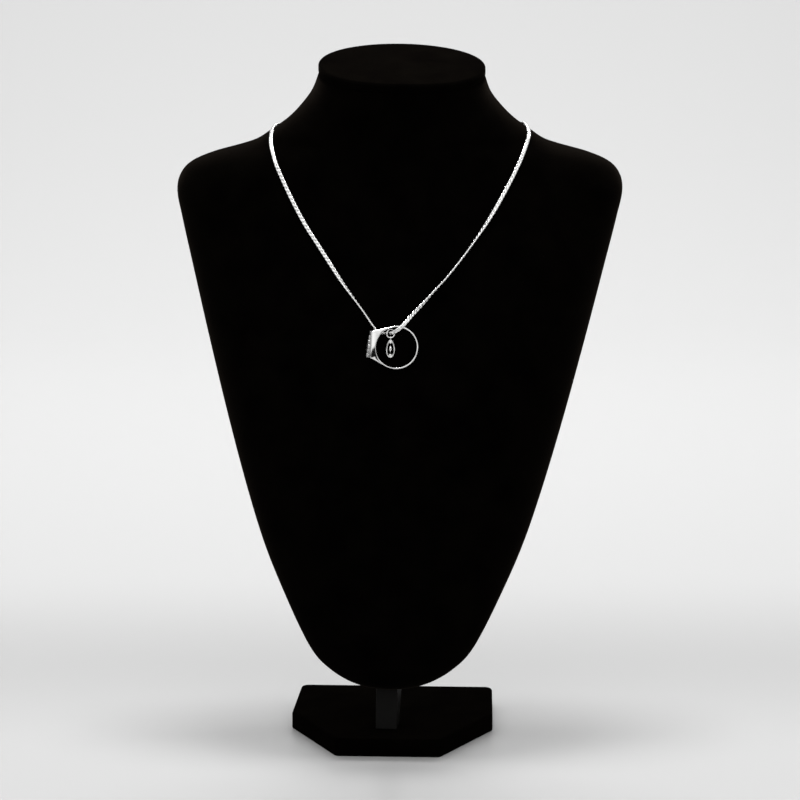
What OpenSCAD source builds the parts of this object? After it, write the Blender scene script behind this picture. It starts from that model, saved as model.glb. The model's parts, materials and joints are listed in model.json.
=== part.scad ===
// Pendant necklace on a velvet neck bust display stand.
// A flat curb chain lies round the bust and carries a signet ring, a jump ring and a charm.
// Millimetres: X to the right, Y to the back, Z up, origin under the middle of the base.

/* [Bust] */
// Full width of the bust across the shoulders
bust_w = 222.6; // [205:0.1:240]
// Height of the bust's lower tip above the table
tip_z = 31; // [30:0.5:33]
// Sideways drift of the bust's middle line towards its top, in degrees
drift = 1; // [0:0.1:2]
// Forward slope of the neck's top, in degrees
neck_slope = 10; // [0:0.5:14]
// Sideways slope of the neck's top, in degrees
neck_roll = 1; // [0:0.1:2]
// Thickness of the pad that closes the neck
cap_t = 4.3; // [3:0.1:6]
// How far the pad stands out past the neck
cap_lip = 0.5; // [0:0.1:1.5]

/* [Base] */
// Width of the base at its widest
base_w = 102; // [90:1:120]
// Depth of the base from front edge to back edge
base_d = 97.5; // [90:0.5:110]
// Width of the front edge, between the two cut corners
base_front_w = 52; // [40:1:70]
// Thickness of the base
base_t = 9; // [6:0.5:12]
// Turn of the base about the vertical, front to the left
base_turn = 2.7; // [0:0.1:5]

/* [Post] */
// Width of the post
post_w = 10.7; // [9:0.1:13]
// Turn of the post about the vertical, front to the left
post_turn = 6; // [0:0.5:7]

/* [Chain] */
// Width of the chain across its flat faces
chain_w = 2.1; // [1.8:0.1:2.4]
// Thickness of the chain
chain_t = 1; // [0.8:0.1:1.2]
// Gap between the chain and the velvet
chain_gap = 0.2; // [0.15:0.05:0.3]

/* [Ring pendant] */
// Inner diameter of the ring
ring_bore = 19.8; // [19:0.1:20.4]
// Thickness of the hoop's band
band_t = 0.75; // [0.7:0.05:1.1]
// Depth of the hoop along the finger
hoop_d = 3; // [2.6:0.1:3.2]
// Length of the flat table on the ring's head
table_l = 13.5; // [12:0.5:15]
// Depth of the head along the finger
head_d = 7.6; // [7:0.1:8]
// Distance from the hoop's centre to the table
table_out = 12.8; // [12:0.1:13]
// How far the table's middle lies above the hoop's centre
table_shift = 1; // [0:0.1:1.5]
// Height of the ring's centre above the table top that the stand is on
ring_z = 206.2; // [205:0.1:207]
// Turn of the ring in its own plane, head upwards
ring_spin = 3; // [0:0.5:7]

/* [Jump ring and charm] */
// Outer diameter of the jump ring
jump_od = 4.7; // [4.4:0.1:4.8]
// Wire diameter of the jump ring
jump_wire = 0.65; // [0.55:0.05:0.8]
// Width of the charm
charm_w = 4.4; // [4:0.1:4.8]
// Height of the charm without its bail
charm_h = 9.3; // [8:0.1:9.4]
// Thickness of the charm
charm_t = 0.8; // [0.6:0.1:1]

/* [Clasp] */
// Length of the clasp between the ends of the chain
clasp_l = 11.4; // [11:0.1:12]
// Thickness of the clasp's body
clasp_t = 1.9; // [1.6:0.1:2.2]

/* [Hidden] */
$fn = 64;

VELVET = "#15130f";
PLASTIC = "#2a2a2c";
SILVER = "#d4d6d8";
SEAT_GAP = 0.2;

// One row for each level of the bust, from the tip to the neck.
// Columns: height, half width, front, widest line, back, roundness in front, roundness behind.
// Front, widest line and back are Y values on the bust's middle line.
SECTIONS = [
    [31, 4.0, -36.0, -34.5, -33.0, 2.0, 2.0],
    [32, 11.0, -38.5, -34.5, -30.5, 2.0, 2.0],
    [34, 18.0, -40.5, -34.5, -28.5, 2.0, 2.2],
    [37, 24.5, -42.0, -34.0, -27.0, 2.0, 2.6],
    [41, 30.5, -43.0, -33.5, -25.5, 2.0, 3.0],
    [47, 37.0, -44.5, -33.0, -23.5, 2.0, 3.4],
    [56, 43.0, -46.0, -31.5, -21.0, 2.1, 3.8],
    [75, 52.5, -48.0, -27.0, -15.5, 2.1, 4.0],
    [100, 63.5, -49.5, -20.5, -8.5, 2.2, 4.0],
    [125, 72.2, -49.5, -13.5, -1.5, 2.2, 4.0],
    [160, 82.6, -46.5, -4.0, 8.5, 2.2, 4.0],
    [200, 93.4, -39.5, 7.0, 19.5, 2.2, 4.0],
    [240, 103.6, -29.5, 17.5, 30.5, 2.2, 4.0],
    [262, 109.0, -21.5, 22.0, 37.5, 2.2, 3.6],
    [274, 111.3, -17.5, 23.5, 42.5, 2.2, 3.2],
    [282, 109.7, -14.5, 24.0, 46.0, 2.2, 2.9],
    [288, 104.2, -12.8, 23.5, 48.3, 2.2, 2.7],
    [292.5, 93.8, -11.8, 23.0, 49.6, 2.2, 2.6],
    [296, 81.2, -11.3, 22.5, 50.2, 2.2, 2.5],
    [299, 72.5, -11.0, 22.0, 50.3, 2.2, 2.4],
    [304, 64.9, -10.8, 21.5, 50.2, 2.3, 2.3],
    [310, 56.6, -11.0, 21.0, 50.3, 2.3, 2.2],
    [317, 49.6, -11.5, 20.5, 51.0, 2.3, 2.1],
    [324, 44.4, -12.5, 20.0, 52.3, 2.4, 2.0],
    [333, 41.0, -14.0, 20.0, 54.0, 2.4, 2.0],
];
TABLE_W = 222.6;
MIDDLE_X = -0.4;
NECK_Z = 333;
BEND_Z = 309;
RING_LEVELS = concat(
    [31, 31.5, 32.2, 33, 34, 35.5, 37, 39, 41.5, 44.5, 48, 52, 57],
    [for (z = [64 : 12 : 268]) z],
    [275, 279, 282.5, 285.5, 288],
    [for (z = [290 : 2 : 308]) z],
    [for (z = [311 : 3 : 329]) z],
    [NECK_Z]
);
SIDES = 56;

// Chain rows on the front: x from the bust's middle line, height, roll of the flat face
LEFT_FRONT = [
    [-63.9, 301, 8], [-63.6, 298, 10], [-62.3, 294, 8], [-61.4, 291.7, 6],
    [-60.5, 289.5, 4], [-57.6, 283.5, 0], [-52.4, 273.5, 0], [-46, 262.5, 0],
    [-39, 252.5, 0], [-32, 242.5, 15], [-27, 235.5, 45], [-22, 229, 75], [-17, 222.5, 90],
];
RIGHT_FRONT = [
    [12.5, 226.5, 130], [17.5, 232, 105], [23.1, 238, 92], [30.2, 246.5, 90],
    [36.9, 255.5, 70], [43.5, 265, 35], [49.3, 274.5, 5], [54.3, 283.5, 0],
    [57.3, 289.5, 0], [58.4, 291.7, 0], [59.5, 294, 0], [61.3, 298, 0], [62.4, 301, 0],
];
// Chain rows over a shoulder and round the nape: turn from the side, height, how much higher
// on the right
NAPE = [
    [-18, 302.6, 0.7], [-10, 304.2, 0.7], [0, 305.4, 0.7], [14, 305.2, 0.5], [30, 303.5, 0.2],
    [45, 300.5, 0], [60, 297, 0], [72, 294.5, 0], [81, 292.8, 0], [86, 292, 0],
];
CLASP_Z = 292;
// Chain rows at the pendant, in the ring's own frame: across, up, out, roll
AT_RING = [
    [-12.2, 11.9, -5.0, 91], [-10.7, 9.8, -4.65, 94], [-9.5, 8.4, -4.45, 100],
    [-8.2, 7.3, -4.3, 135], [-6.4, 6.6, -3.75, 125], [-4.5, 6.5, -2.45, 125],
    [-2.8, 6.8, -0.6, 150], [-1.2, 7.5, 1.1, 178], [0.6, 8.7, 2.15, 180],
    [2.5, 10.4, 2.35, 180], [4.5, 12.3, 1.8, 180], [6.7, 14.5, 0.1, 178],
    [9.6, 17.1, -2.6, 165],
];

// Where the ring hangs: its middle from the bust's middle line, its stand-off, its lean and its turn
RING_SIDE = -0.55;
RING_OFF = 3.5;
RING_LEAN = 6;
RING_TURN = 5.5;
JUMP_AT = [-2.74, 6.65, -0.7];
JUMP_TURN = 15;
CHARM_LEAN = 9.5;
BAIL_R = 0.8;
BAIL_WIRE = 0.5;

hoop_r = ring_bore / 2 + band_t;
jump_r = (jump_od - jump_wire) / 2;

function unit(v) = v / norm(v);
function ease(t) = let (c = min(max(t, 0), 1)) c * c * (3 - 2 * c);
function tip_x(v, a) = [v[0], v[1] * cos(a) - v[2] * sin(a), v[1] * sin(a) + v[2] * cos(a)];
function turn_y(v, a) = [v[0] * cos(a) + v[2] * sin(a), v[1], v[2] * cos(a) - v[0] * sin(a)];

// A section of the bust at any height: a smooth cubic between the rows of the table
function row_below(z, i = 0) = i >= len(SECTIONS) - 2 || z < SECTIONS[i + 1][0] ? i : row_below(z, i + 1);
function row_slope(i) =
    let (a = max(i - 1, 0), b = min(i + 1, len(SECTIONS) - 1))
    (SECTIONS[b] - SECTIONS[a]) / (SECTIONS[b][0] - SECTIONS[a][0]);
function section(z) =
    let (
        i = row_below(z),
        h = SECTIONS[i + 1][0] - SECTIONS[i][0],
        t = (z - SECTIONS[i][0]) / h
    )
    (2 * t ^ 3 - 3 * t ^ 2 + 1) * SECTIONS[i] + (t ^ 3 - 2 * t ^ 2 + t) * h * row_slope(i)
    + (3 * t ^ 2 - 2 * t ^ 3) * SECTIONS[i + 1] + (t ^ 3 - t ^ 2) * h * row_slope(i + 1);

// A point of the bust's skin. The turn is 0 at the right side, 90 behind and -90 in front.
// Each section is a superellipse, and the top of the neck tips forward.
function middle_x(z) = MIDDLE_X + tan(drift) * (z - SECTIONS[0][0]);
function skin(turn, z) =
    let (
        s = section(z),
        e = sin(turn) < 0 ? s[5] : s[6],
        deep = sin(turn) < 0 ? s[3] - s[2] : s[4] - s[3],
        x = s[1] * bust_w / TABLE_W * sign(cos(turn)) * pow(abs(cos(turn)), 2 / e),
        y = deep * sign(sin(turn)) * pow(abs(sin(turn)), 2 / e),
        k = ease((z - BEND_Z) / (NECK_Z - BEND_Z))
    )
    [middle_x(z) + x, s[3] + y, z + tip_z - SECTIONS[0][0] + k * (tan(neck_slope) * y - tan(neck_roll) * x)];
function skin_normal(turn, z) =
    unit(cross(skin(turn + 0.5, z) - skin(turn - 0.5, z), skin(turn, z + 0.25) - skin(turn, z - 0.25)));
// The turn at which a section lies x to the side of the middle line, in front or behind
function turn_at(x, z, behind = false) =
    let (
        s = section(z),
        e = behind ? s[6] : s[5],
        t = acos(pow(min(abs(x) * TABLE_W / bust_w / s[1], 1), e / 2)),
        side = x < 0 ? 180 - t : t
    )
    behind ? side : -side;

// A closed solid through rings of points that all have the same count, listed from below
module loft(rings) {
    n = len(rings[0]);
    m = len(rings);
    polyhedron(
        points = [for (ring = rings) for (p = ring) p],
        faces = concat(
            [[for (j = [0 : n - 1]) j]],
            [for (i = [0 : m - 2]) for (j = [0 : n - 1])
                let (k = (j + 1) % n)
                [i * n + j, (i + 1) * n + j, (i + 1) * n + k, i * n + k]],
            [[for (j = [n - 1 : -1 : 0]) (m - 1) * n + j]]
        ),
        convexity = 6
    );
}

// Neck and chest in velvet
module bust() {
    color(VELVET)
    loft([for (z = RING_LEVELS) [for (j = [0 : SIDES - 1]) skin(j * 360 / SIDES, z)]]);
}

// The velvet pad on top of the neck, with rounded edges
module neck_cap() {
    // Inset from the lip and height above the neck's end
    edge = [[1.3, 0], [0.3, 0.5], [0, 1.3], [0, cap_t - 1.5], [0.4, cap_t - 0.6], [1.6, cap_t]];
    middle = [middle_x(NECK_Z), section(NECK_Z)[3], NECK_Z + tip_z - SECTIONS[0][0] + SEAT_GAP];
    color(VELVET)
    loft([for (e = edge) [for (j = [0 : SIDES - 1])
        let (
            p = skin(j * 360 / SIDES, NECK_Z) - middle,
            out = unit([p[0], p[1], 0]) * (cap_lip - e[0])
        )
        middle + p + out + [0, 0, SEAT_GAP + e[1] + tan(neck_slope) * out[1] - tan(neck_roll) * out[0]]]]);
}

// Plastic post: a bar that leans back with the bust, with a wedge behind
module post() {
    // Side view, as y and height: up the front from the foot, then down the back of the wedge
    side = [
        [-31.8, base_t + SEAT_GAP], [-27.2, 33], [-24.2, 41], [-19.8, 56], [-14.4, 75], [-7.4, 100],
        [-3, 100], [2, 62], [-2, 34], [-17.5, base_t + SEAT_GAP],
    ];
    turn_about = [-2.5, -26, 0];
    color(PLASTIC)
    translate(turn_about)
    rotate([0, 0, -post_turn])
    rotate([90, 0, 90])
    linear_extrude(height = post_w, center = true)
    polygon([for (p = side) [p[0] - turn_about[1], p[1]]]);
}

// Points on an arc that rounds the corner b between a and c
function corner(a, b, c, r, steps = 5) =
    let (
        u = unit(a - b),
        v = unit(c - b),
        half = acos(u * v) / 2,
        middle = b + unit(u + v) * r / sin(half),
        from = b + u * r / tan(half) - middle,
        to = b + v * r / tan(half) - middle,
        sweep = acos(unit(from) * unit(to)),
        way = sign(from[0] * to[1] - from[1] * to[0])
    )
    [for (i = [0 : steps])
        let (t = way * sweep * i / steps)
        middle + [from[0] * cos(t) - from[1] * sin(t), from[0] * sin(t) + from[1] * cos(t)]];

// Velvet-covered base with its front corners cut off
module base() {
    front = -base_d / 2;
    side_y = -1;
    // Corner x, corner y, corner radius
    plan = [
        [-base_front_w / 2, front, 5], [base_front_w / 2, front, 5], [base_w / 2, side_y, 6],
        [base_w / 2 - 1.5, -front, 8], [1.5 - base_w / 2, -front, 8], [-base_w / 2, side_y, 6],
    ];
    n = len(plan);
    xy = [for (p = plan) [p[0], p[1]]];
    color(VELVET)
    rotate([0, 0, -base_turn])
    linear_extrude(height = base_t)
    polygon([for (i = [0 : n - 1]) each corner(xy[(i + n - 1) % n], xy[i], xy[(i + 1) % n], plan[i][2])]);
}

// The ring's own frame: across, up along the chest, and out towards the viewer
RING_AT = [middle_x(ring_z) + RING_SIDE, skin(-90, ring_z)[1] - RING_OFF, ring_z];
function ring_dir(v) = tip_x(turn_y(v, RING_TURN), 90 - RING_LEAN);
module in_ring_frame() {
    translate(RING_AT)
    rotate([90 - RING_LEAN, 0, 0])
    rotate([0, RING_TURN, 0])
    children();
}

// Where a shoulder that starts at a table's end leaves the hoop: the turn, and then the point
function touch_turn(y) = 180 - atan2(abs(y), table_out) - acos(hoop_r / norm([table_out, y]));
function touch(y) = hoop_r * [cos(touch_turn(y)), sign(y) * sin(touch_turn(y))];

// Signet ring: hoop, straight shoulders, flat table, raised plate and a generic stepped relief
module ring_pendant() {
    upper = table_shift + table_l / 2;
    lower = table_shift - table_l / 2;
    outline = [[-table_out, lower], touch(lower), touch(upper), [-table_out, upper]];
    taper_end = 0;
    // Bars across the table: middle along the table, length across it, height
    bars = [[3.05, 3.6, 0.95], [0.95, 5, 1.3], [-1.15, 6.4, 1.45], [-3.25, 5, 1.55], [-5.35, 3.6, 1.75]];
    bar_w = 2.1;
    plate_h = 0.45;
    plate_end = 0.5;
    // The bore is a little wider than high, towards the head
    head_room = 0.4;
    color(SILVER)
    in_ring_frame()
    rotate([0, 0, -ring_spin])
    union() {
        difference() {
            intersection() {
                union() {
                    cylinder(h = head_d, r = hoop_r, center = true, $fn = 96);
                    linear_extrude(height = head_d, center = true)
                    polygon(outline);
                }
                rotate([90, 0, 0])
                linear_extrude(height = 3 * hoop_r, center = true)
                polygon([
                    [-table_out, -head_d / 2], [taper_end, -hoop_d / 2], [hoop_r + 1, -hoop_d / 2],
                    [hoop_r + 1, hoop_d / 2], [taper_end, hoop_d / 2], [-table_out, head_d / 2],
                ]);
            }
            for (x = [0, -head_room])
                translate([x, 0, 0])
                cylinder(h = head_d + 2, d = ring_bore, center = true, $fn = 96);
        }
        translate([-table_out - plate_h, lower + plate_end, -head_d / 2 + 0.5])
        cube([plate_h + 0.2, table_l - 2 * plate_end, head_d - 1]);
        for (b = bars)
            translate([-table_out - b[2], table_shift + b[0] - bar_w / 2, -b[1] / 2])
            cube([b[2] + 0.2, bar_w, b[1]]);
    }
}

// Small ring that hangs on the chain inside the hoop and carries the charm
module jump_ring() {
    color(SILVER)
    in_ring_frame()
    translate(JUMP_AT)
    rotate([0, JUMP_TURN, 0])
    rotate_extrude($fn = 48)
    translate([jump_r, 0])
    circle(d = jump_wire, $fn = 24);
}

// The charm's outline: an oval with a pointed top, t from 0 at the top through 180 at the bottom
function drop(t, w, h) = [1.083 * w / 2 * sin(t) * pow(abs(sin(t / 2)), 0.25), h / 2 * cos(t)];

// Pierced drop-shaped charm with a bail, a slim lozenge and two beads inside
module charm() {
    rim = 0.65;
    bead = 0.7;
    lozenge_l = charm_h * 0.6;
    steps = 60;
    // The bail hangs on the lowest point of the jump ring
    hang = JUMP_AT + [0, -jump_r - (BAIL_R - BAIL_WIRE / 2 - jump_wire / 2 - 0.08), 0];
    color(SILVER)
    in_ring_frame()
    translate(hang)
    rotate([CHARM_LEAN, 0, 0])
    union() {
        rotate([0, 90, 0])
        rotate_extrude($fn = 36)
        translate([BAIL_R, 0])
        circle(d = BAIL_WIRE, $fn = 16);
        translate([0, -BAIL_R - charm_h / 2 + 0.1, 0]) {
            linear_extrude(height = charm_t, center = true)
            difference() {
                polygon([for (i = [0 : steps - 1]) drop(i * 360 / steps, charm_w, charm_h)]);
                translate([0, -0.1])
                polygon([for (i = [0 : steps - 1])
                    drop(i * 360 / steps, charm_w - 2 * rim, charm_h - 2.6 * rim)]);
            }
            linear_extrude(height = charm_t * 0.8, center = true)
            polygon([[0, lozenge_l / 2], [1.1, -0.4], [0, -lozenge_l / 2], [-1.1, -0.4]]);
            for (end = [-1, 1])
                translate([0, end * (charm_h / 2 - rim - bead - 0.1) - 0.1, 0])
                sphere(r = bead, $fn = 24);
        }
    }
}

// Outline of the chain's envelope, in shares of its half width and half thickness
ENVELOPE = [[0.6, -1], [-0.6, -1], [-1, -0.45], [-1, 0.45], [-0.6, 1], [0.6, 1], [1, 0.45], [1, -0.45]];

// The chain's route: each row is a point, the way its flat face looks and its roll
function lift(roll) = chain_gap + max([for (o = ENVELOPE)
    o[0] * chain_w / 2 * sin(roll) + o[1] * chain_t / 2 * cos(roll)]);
function on_skin(turn, z, roll) =
    let (n = skin_normal(turn, z))
    [skin(turn, z) + n * lift(roll), n, roll];
CLASP_END = turn_at(clasp_l / 2 + chain_gap, CLASP_Z, true);
NAPE_SIDE = concat(NAPE, [[CLASP_END, CLASP_Z, 0]]);
ROUTE = concat(
    [for (i = [len(NAPE_SIDE) - 1 : -1 : 0]) on_skin(180 - NAPE_SIDE[i][0], NAPE_SIDE[i][1], 0)],
    [for (p = LEFT_FRONT) on_skin(turn_at(p[0], p[1]), p[1], p[2])],
    [for (p = AT_RING) [RING_AT + ring_dir([p[0], p[1], p[2]]), ring_dir([0, 0, 1]), p[3]]],
    [for (p = RIGHT_FRONT) on_skin(turn_at(p[0], p[1]), p[1], p[2])],
    [for (p = NAPE_SIDE) on_skin(p[0], p[1] + p[2], 0)]
);

// A smooth curve through the route: column c at segment i, share t
function pass(c, i, t) =
    let (
        last = len(ROUTE) - 1,
        a = ROUTE[max(i - 1, 0)][c],
        b = ROUTE[i][c],
        d = ROUTE[min(i + 1, last)][c],
        e = ROUTE[min(i + 2, last)][c]
    )
    0.5 * (2 * b + (d - a) * t + (2 * a - 5 * b + 4 * d - e) * t ^ 2 + (3 * b - a - 3 * d + e) * t ^ 3);

// Rings of the tube: one at each row, and one between two rows that lie far apart
LONG_STEP = 7;
STATIONS = [for (i = [0 : len(ROUTE) - 1]) each
    (i < len(ROUTE) - 1 && norm(ROUTE[i + 1][0] - ROUTE[i][0]) > LONG_STEP ? [[i, 0], [i, 0.5]]
    : i < len(ROUTE) - 1 ? [[i, 0]] : [[i - 1, 1]])];

// The chain as a flat tube along its route, with its real width, thickness and twist
module chain() {
    step = 0.02;
    rings = [for (s = STATIONS)
        let (
            p = pass(0, s[0], s[1]),
            t0 = max(s[1] - step, 0),
            t1 = min(s[1] + step, 1),
            ahead = unit(pass(0, s[0], t1) - pass(0, s[0], t0)),
            across = unit(cross(ahead, pass(1, s[0], s[1]))),
            up = cross(across, ahead),
            roll = pass(2, s[0], s[1]),
            wide = across * cos(roll) + up * sin(roll),
            thick = up * cos(roll) - across * sin(roll)
        )
        [for (o = ENVELOPE) p + wide * o[0] * chain_w / 2 + thick * o[1] * chain_t / 2]];
    color(SILVER)
    loft(rings);
}

// One plain clasp behind the neck, with an eye for each end of the chain
module clasp() {
    eye_r = 1.25;
    body_r = 1.8;
    eye_x = clasp_l / 2 - eye_r;
    up = skin_normal(90, CLASP_Z);
    slope = atan2(-up[2], up[1]);
    color(SILVER)
    translate(skin(90, CLASP_Z) + up * (clasp_t / 2 + chain_gap))
    rotate([-90 - slope, 0, 0])
    union() {
        linear_extrude(height = clasp_t, center = true)
        union() {
            square([2 * (eye_x - body_r), 2 * body_r], center = true);
            for (end = [-1, 1])
                translate([end * (eye_x - body_r - 0.6), 0])
                circle(r = body_r);
        }
        for (end = [-1, 1])
            translate([end * eye_x, 0, 0])
            linear_extrude(height = chain_t, center = true)
            difference() {
                circle(r = eye_r, $fn = 32);
                circle(d = chain_w / 2 + 0.1, $fn = 24);
            }
    }
}

bust();
neck_cap();
post();
base();
chain();
clasp();
ring_pendant();
jump_ring();
charm();
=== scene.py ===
# %% [markdown]
# # A pendant necklace on a velvet neck bust
#
# A flat curb chain lies round the neck of a black velvet display bust. It carries a signet ring,
# and inside the ring hangs a small pierced charm on its own jump ring. This lesson builds the
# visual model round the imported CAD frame: every shape is a numpy surface in the CAD's own frame,
# and every finish is procedural. Lengths are in millimetres until a piece is made.

# %% The frame and the units
import json
import math
from functools import partial

import bpy
import numpy as np
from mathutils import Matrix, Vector

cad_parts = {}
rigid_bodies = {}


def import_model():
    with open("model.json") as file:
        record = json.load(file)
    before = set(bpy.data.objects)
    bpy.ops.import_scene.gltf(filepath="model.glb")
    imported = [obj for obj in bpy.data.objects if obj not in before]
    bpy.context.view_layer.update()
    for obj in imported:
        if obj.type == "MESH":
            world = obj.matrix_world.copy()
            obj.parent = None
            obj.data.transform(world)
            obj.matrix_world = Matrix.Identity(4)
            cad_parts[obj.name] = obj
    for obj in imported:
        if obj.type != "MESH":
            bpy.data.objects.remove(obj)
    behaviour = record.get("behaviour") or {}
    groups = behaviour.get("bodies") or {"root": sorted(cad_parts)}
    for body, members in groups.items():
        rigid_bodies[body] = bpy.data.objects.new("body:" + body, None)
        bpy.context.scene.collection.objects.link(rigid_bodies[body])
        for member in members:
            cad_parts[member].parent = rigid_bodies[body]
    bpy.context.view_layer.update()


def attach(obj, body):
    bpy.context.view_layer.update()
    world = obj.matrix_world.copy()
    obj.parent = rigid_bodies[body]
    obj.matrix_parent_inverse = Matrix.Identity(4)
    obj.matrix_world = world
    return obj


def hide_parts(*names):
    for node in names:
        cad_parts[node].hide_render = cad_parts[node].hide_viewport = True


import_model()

MM = 0.001

# %% [markdown]
# ## Camera
#
# The photo is a long-lens product shot: the stand shows hardly any perspective, and the top of its
# base is seen from a little above. A 180 mm lens at 2 m gives that, 12 degrees above the table.

# %% Camera
AIM = Vector((3.9, 0.0, 171.0)) * MM
CAMERA_DISTANCE = 2.0
CAMERA_RISE = math.radians(12)
SENSOR_W, LENS = 36, 180

camera_data = bpy.data.cameras.new("camera")
camera_data.sensor_width = SENSOR_W
camera_data.lens = LENS
camera = bpy.data.objects.new("camera", camera_data)
bpy.context.scene.collection.objects.link(camera)
away = Vector((0, -math.cos(CAMERA_RISE), math.sin(CAMERA_RISE)))
camera.location = AIM + away * CAMERA_DISTANCE
camera.rotation_euler = (math.pi / 2 - CAMERA_RISE, 0, 0)
bpy.context.scene.camera = camera
print("camera at", [round(v, 3) for v in camera.location])

# %% [markdown]
# ## Meshes from grids
#
# Almost every piece here is a grid of points: rows along the shape, columns round it. The columns
# always join up. The rows either join up too, as in a ring, or end in a pole at each end. One
# helper turns such a grid into faces as whole arrays, and turns them round if the shell's signed
# volume comes out negative, so the faces always point outwards. Another makes one object of a
# piece's shells and says which nodes of the CAD model it stands for.

# %% Grid helpers
def shell(grid, poles=False):
    """Quads between neighbouring points of grid[row, column], with triangles round each pole."""
    rows, cols = grid.shape[:2]
    i, j = np.meshgrid(np.arange(rows - 1 if poles else rows), np.arange(cols), indexing="ij")
    after, beside = (i + 1) % rows * cols, (j + 1) % cols
    here = i * cols
    quads = np.stack([here + j, here + beside, after + beside, after + j], -1).reshape(-1, 4)
    points = grid.reshape(-1, 3)
    triangles = np.empty((0, 3), int)
    if poles:
        points = np.vstack([points, grid[0].mean(0), grid[-1].mean(0)])
        j = np.arange(cols)
        k, last = (j + 1) % cols, (rows - 1) * cols
        low, high = np.full(cols, rows * cols), np.full(cols, rows * cols + 1)
        triangles = np.vstack([np.stack([low, k, j], -1), np.stack([high, last + j, last + k], -1)])
    corners = np.vstack([quads[:, [0, 1, 2]], quads[:, [0, 2, 3]], triangles])
    a, b, c = (points - points.mean(0))[corners.T]
    if (a * np.cross(b, c)).sum() < 0:
        quads, triangles = quads[:, ::-1], triangles[:, ::-1]
    return points, quads.tolist() + triangles.tolist()


def make_piece(name, shells, material, stands_for):
    """One mesh object from a list of shells, in millimetres, riding on the stand."""
    points, faces, start = [], [], 0
    for some_points, some_faces in shells:
        points.append(some_points)
        faces += [[start + corner for corner in face] for face in some_faces]
        start += len(some_points)
    points = np.vstack(points)
    mesh = bpy.data.meshes.new(name)
    mesh.from_pydata((points * MM).tolist(), [], faces)
    mesh.polygons.foreach_set("use_smooth", np.ones(len(faces), bool))
    mesh.materials.append(material)
    piece = bpy.data.objects.new(name, mesh)
    bpy.context.scene.collection.objects.link(piece)
    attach(piece, "root")
    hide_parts(*stands_for)
    print(name, "has", len(faces), "faces, size in mm", np.ptp(points, 0).round(1).tolist())
    return piece


def unit(v):
    """The same directions with length 1."""
    return v / np.linalg.norm(v, axis=-1, keepdims=True)


def ease(t):
    """0 before 0, 1 after 1, and 3t^2 - 2t^3 between."""
    t = np.clip(t, 0, 1)
    return t * t * (3 - 2 * t)


# %% [markdown]
# ## Shader groups
#
# All finishes share two effects. The first is a grain: noise on the piece's own coordinates,
# mapped to a range, which drives the colour and the roughness of each. The second is a fine relief
# for a Bump node: pile on the velvet, moulded grain on the plastic, hairlines on the silver. Each
# is a node group with named inputs.

# %% Shader groups
# The range that the noise is stretched from, and the coarse noise's scale as a share of the fine
NOISE_LOW, NOISE_HIGH, COARSE_SCALE = 0.3, 0.7, 0.12


def new_group(name, inputs, output):
    """A node group with float inputs (name, value) and one float output, and its end nodes."""
    group = bpy.data.node_groups.new(name, "ShaderNodeTree")
    for label, value in inputs:
        socket = group.interface.new_socket(label, in_out="INPUT", socket_type="NodeSocketFloat")
        socket.default_value = value
    group.interface.new_socket(output, in_out="OUTPUT", socket_type="NodeSocketFloat")
    return group, group.nodes.new("NodeGroupInput"), group.nodes.new("NodeGroupOutput")


def connect(tree, pairs):
    """A link in the node tree for each pair of an output and an input."""
    for source, target in pairs:
        tree.links.new(source, target)


grain_group, into, out = new_group(
    "grain_value", [("Scale", 100), ("Detail", 3), ("Low", 0), ("High", 1)], "Value"
)
place = grain_group.nodes.new("ShaderNodeTexCoord")
noise = grain_group.nodes.new("ShaderNodeTexNoise")
spread = grain_group.nodes.new("ShaderNodeMapRange")
spread.inputs["From Min"].default_value = NOISE_LOW
spread.inputs["From Max"].default_value = NOISE_HIGH
connect(grain_group, [
    (place.outputs["Object"], noise.inputs["Vector"]),
    (into.outputs["Scale"], noise.inputs["Scale"]),
    (into.outputs["Detail"], noise.inputs["Detail"]),
    (noise.outputs["Fac"], spread.inputs["Value"]),
    (into.outputs["Low"], spread.inputs["To Min"]),
    (into.outputs["High"], spread.inputs["To Max"]),
    (spread.outputs["Result"], out.inputs["Value"]),
])

relief_group, into, out = new_group(
    "fine_relief", [("Scale", 1000), ("Coarse share", 0.3)], "Height"
)
place = relief_group.nodes.new("ShaderNodeTexCoord")
fine = relief_group.nodes.new("ShaderNodeTexNoise")
coarse = relief_group.nodes.new("ShaderNodeTexNoise")
wider = relief_group.nodes.new("ShaderNodeMath")
wider.operation = "MULTIPLY"
wider.inputs[1].default_value = COARSE_SCALE
blend = relief_group.nodes.new("ShaderNodeMix")
connect(relief_group, [
    (place.outputs["Object"], fine.inputs["Vector"]),
    (place.outputs["Object"], coarse.inputs["Vector"]),
    (into.outputs["Scale"], fine.inputs["Scale"]),
    (into.outputs["Scale"], wider.inputs[0]),
    (wider.outputs[0], coarse.inputs["Scale"]),
    (into.outputs["Coarse share"], blend.inputs["Factor"]),
    (fine.outputs["Fac"], blend.inputs["A"]),
    (coarse.outputs["Fac"], blend.inputs["B"]),
    (blend.outputs["Result"], out.inputs["Height"]),
])
print("shader groups:", grain_group.name, relief_group.name)

# %% [markdown]
# ## Finishes
#
# Black velvet swallows nearly all light that meets it square on, and its pile lights up a little,
# with a brown cast, where the surface turns edge-on. So its base colour is almost zero, and a
# weak sheen does the rest. The neck pad and the base get copies of it with less sheen, which is
# painted shade: it darkens their upturned faces, and the base where it lies in the bust's shadow.
# The post is black moulded plastic with a satin gloss. The jewellery is polished silver, a clean
# metal whose look comes from what it reflects. The relief on the ring is the same metal, rougher,
# with a colour that varies at random from dark grey to light grey. One function makes them all,
# because they differ only in their values.

# %% The finish function
def place_group(tree, group, values):
    """A group's node in a material, with its inputs' values in their order."""
    node = tree.nodes.new("ShaderNodeGroup")
    node.node_tree = group
    for socket, value in zip(node.inputs, values):
        socket.default_value = value
    return node


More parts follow.
